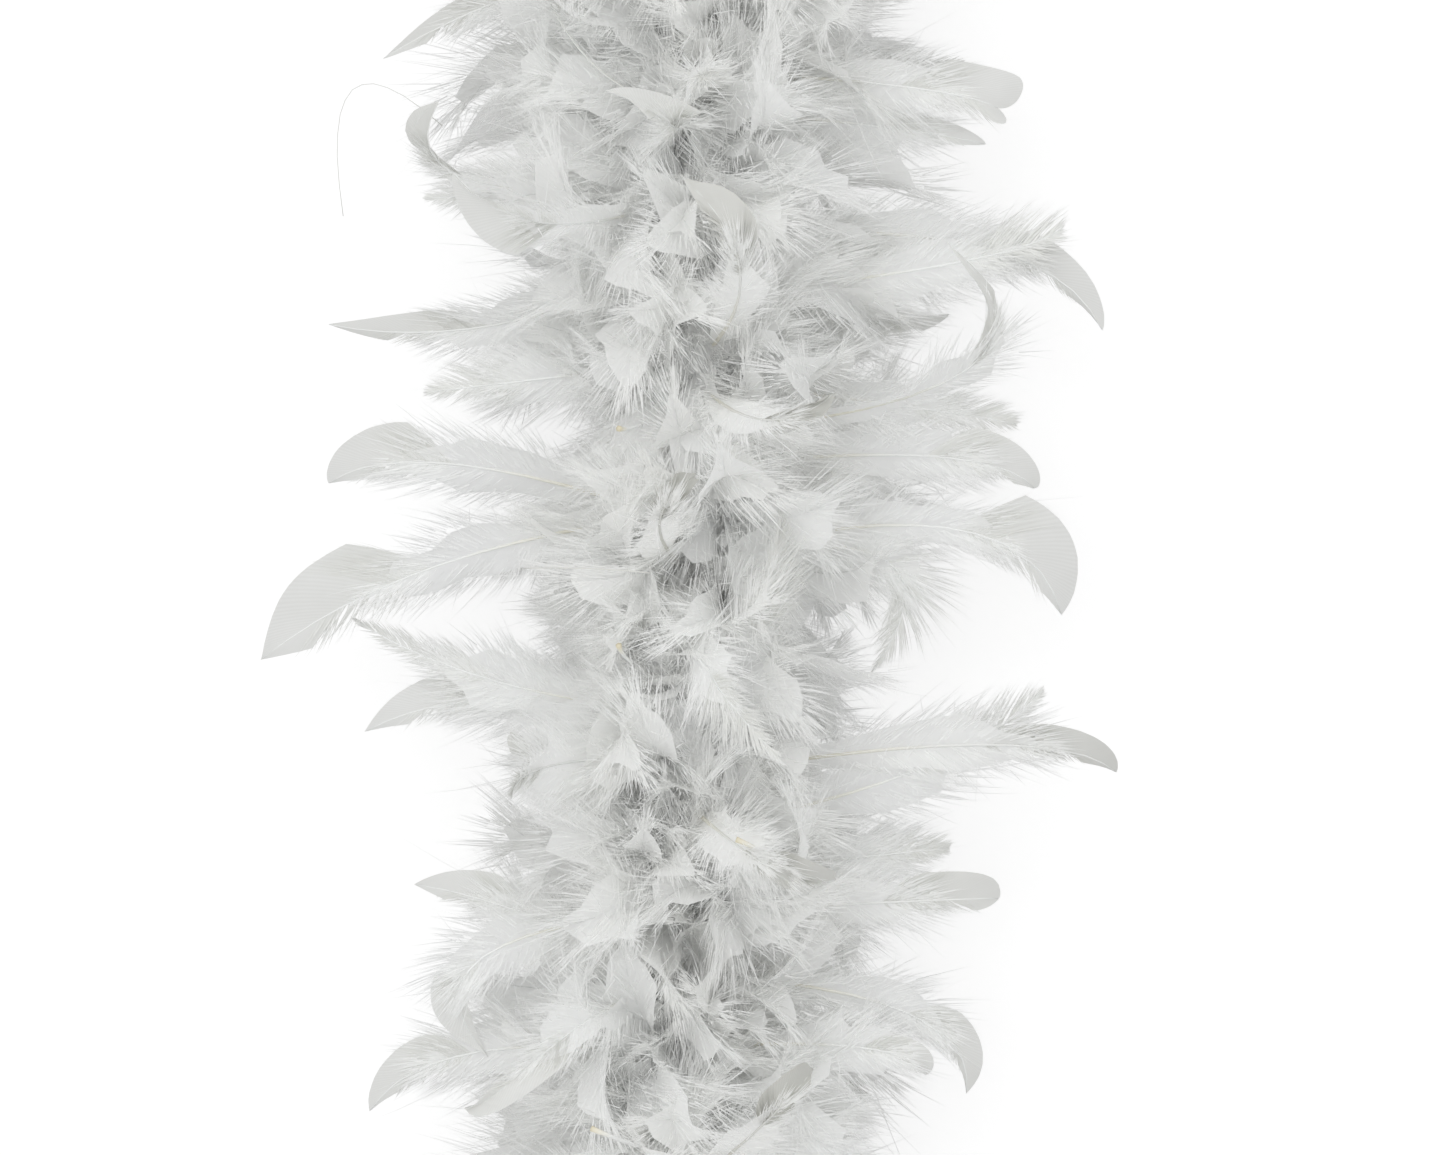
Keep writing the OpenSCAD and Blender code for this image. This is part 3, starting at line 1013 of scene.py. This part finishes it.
def string_material(name, colour, shade, scale):
    """Twisted fibre, with a fine uneven bump."""
    m = Shader(bpy.data.materials.new(name))
    fibres = m.noise(scale, 4)
    bump = m.node("ShaderNodeBump", {}, {"Height": fibres, "Strength": 0.5, "Distance": 0.0004})
    return m.finish(m.node("ShaderNodeBsdfPrincipled", {}, {
        "Base Color": m.mix(fibres, (*shade, 1), (*colour, 1)),
        "Roughness": 0.9,
        "Normal": bump,
    }))


def floor_material():
    """A floor that glows a little, so that it stays as pale as the sky."""
    m = Shader(bpy.data.materials.new("pale_floor"))
    return m.finish(m.node("ShaderNodeBsdfPrincipled", {}, {
        "Base Color": (0.4, 0.4, 0.4, 1),
        "Roughness": 1.0,
        "Specular IOR Level": 0.0,
        "Emission Color": (1, 1, 1, 1),
        "Emission Strength": 0.65,
    }))


# ---- the stage ----

FLOOR_HALF = 60


def stage():
    """A wide pale floor, which throws no light back up into the down."""
    bm = bmesh.new()
    bmesh.ops.create_grid(bm, x_segments=1, y_segments=1, size=FLOOR_HALF)
    mesh = bpy.data.meshes.new("floor")
    bm.to_mesh(mesh)
    bm.free()
    mesh.materials.append(floor_material())
    floor = bpy.data.objects.new("floor", mesh)
    floor.visible_diffuse = False
    floor.visible_transmission = False
    bpy.context.scene.collection.objects.link(floor)


SOFTBOX_SIZE = 1.2
SOFTBOX_WATTS = 10.5
SOFTBOX_PLACE = (-0.7, 0.3, 2.0)
SOFTBOX_TURN = (-0.25, -0.28, 0)
# Sky levels by height, from below the horizon, which is at SKY_LEVEL, to overhead
SKY_LEVEL = 0.1
SKY = ((0.08, 0.45), (0.095, 1.0), (0.22, 1.0), (0.4, 0.88))


def lights():
    """An even sky that is paler at the horizon, and one large softbox."""
    world = Shader(bpy.data.worlds.new("studio"))
    place = world.node("ShaderNodeTexCoord")
    height = world.node("ShaderNodeSeparateXYZ", {}, {0: place}, output=2)
    stops = [(at, (level, level * 1.003, level * 1.008)) for at, level in SKY]
    sky = world.node("ShaderNodeBackground", {}, {"Color": world.ramp(height + SKY_LEVEL, *stops)})
    bpy.context.scene.world = world.finish(sky, "ShaderNodeOutputWorld")
    lamp = bpy.data.lights.new("softbox", "AREA")
    lamp.size = SOFTBOX_SIZE
    lamp.energy = SOFTBOX_WATTS
    box = bpy.data.objects.new("softbox", lamp)
    box.location = SOFTBOX_PLACE
    box.rotation_euler = SOFTBOX_TURN
    bpy.context.scene.collection.objects.link(box)


def camera():
    """A camera that looks straight down on the run."""
    data = bpy.data.cameras.new("camera")
    data.lens = LENS
    data.sensor_width = SENSOR
    data.clip_end = 50
    eye = bpy.data.objects.new("camera", data)
    eye.location = (VIEW_X, VIEW_Y, CAMERA_Z)
    bpy.context.scene.collection.objects.link(eye)
    bpy.context.scene.camera = eye


# ---- the making ----

NEAR_SECTIONS = 5
BARE_SECTION = 3
FEWEST_LONG = 3

camera()
lights()
stage()
bpy.context.scene.view_settings.view_transform = "Standard"
# Light has to find its way through many layers of white down
bpy.context.scene.cycles.max_bounces = 14
bpy.context.scene.cycles.diffuse_bounces = 10

string_white = string_material("string_white", (0.86, 0.85, 0.81), (0.7, 0.69, 0.65), 900)
thread_white = string_material("thread_white", (0.9, 0.9, 0.88), (0.76, 0.76, 0.74), 1600)
core_string(string_white)
threads(thread_white)
ends(string_white)

# The last colour of the down is painted shade for the ends of its barbs.
down_white = down_material("down_white", (0.985, 0.99, 0.991), (0.965, 0.963, 0.945), (0.72, 0.72, 0.71))
# The last colour of the vane is painted shade in the grooves between its barbs.
vane_white = vane_material("vane_white", (0.93, 0.935, 0.925), (0.52, 0.52, 0.485), (0.66, 0.66, 0.63))
quill = quill_material("quill")
FEATHER = (down_white, vane_white, quill)

for section in range(1, SECTIONS + 1):
    rng = np.random.default_rng(section)
    grade = NEAR if section <= NEAR_SECTIONS else FAR
    piece = down_section(section, grade, rng).make(f"down_plumes_{section:02d}", FEATHER)
    take_place(piece, "down", f"down_feathers_{section:02d}")
    stand_out = [f for f in LEFT + RIGHT + ON_TOP if section_of(f) == section]
    plumage = long_section(section, grade, rng, max(FEWEST_LONG, LONG_PER_SECTION - len(stand_out)))
    if stand_out:
        grow_placed(plumage, rng, stand_out, NEAR)
    if section == BARE_SECTION:
        grow_bare(plumage)
    piece = plumage.make(f"long_plumes_{section:02d}", FEATHER)
    take_place(piece, "vane", f"long_feathers_{section:02d}")
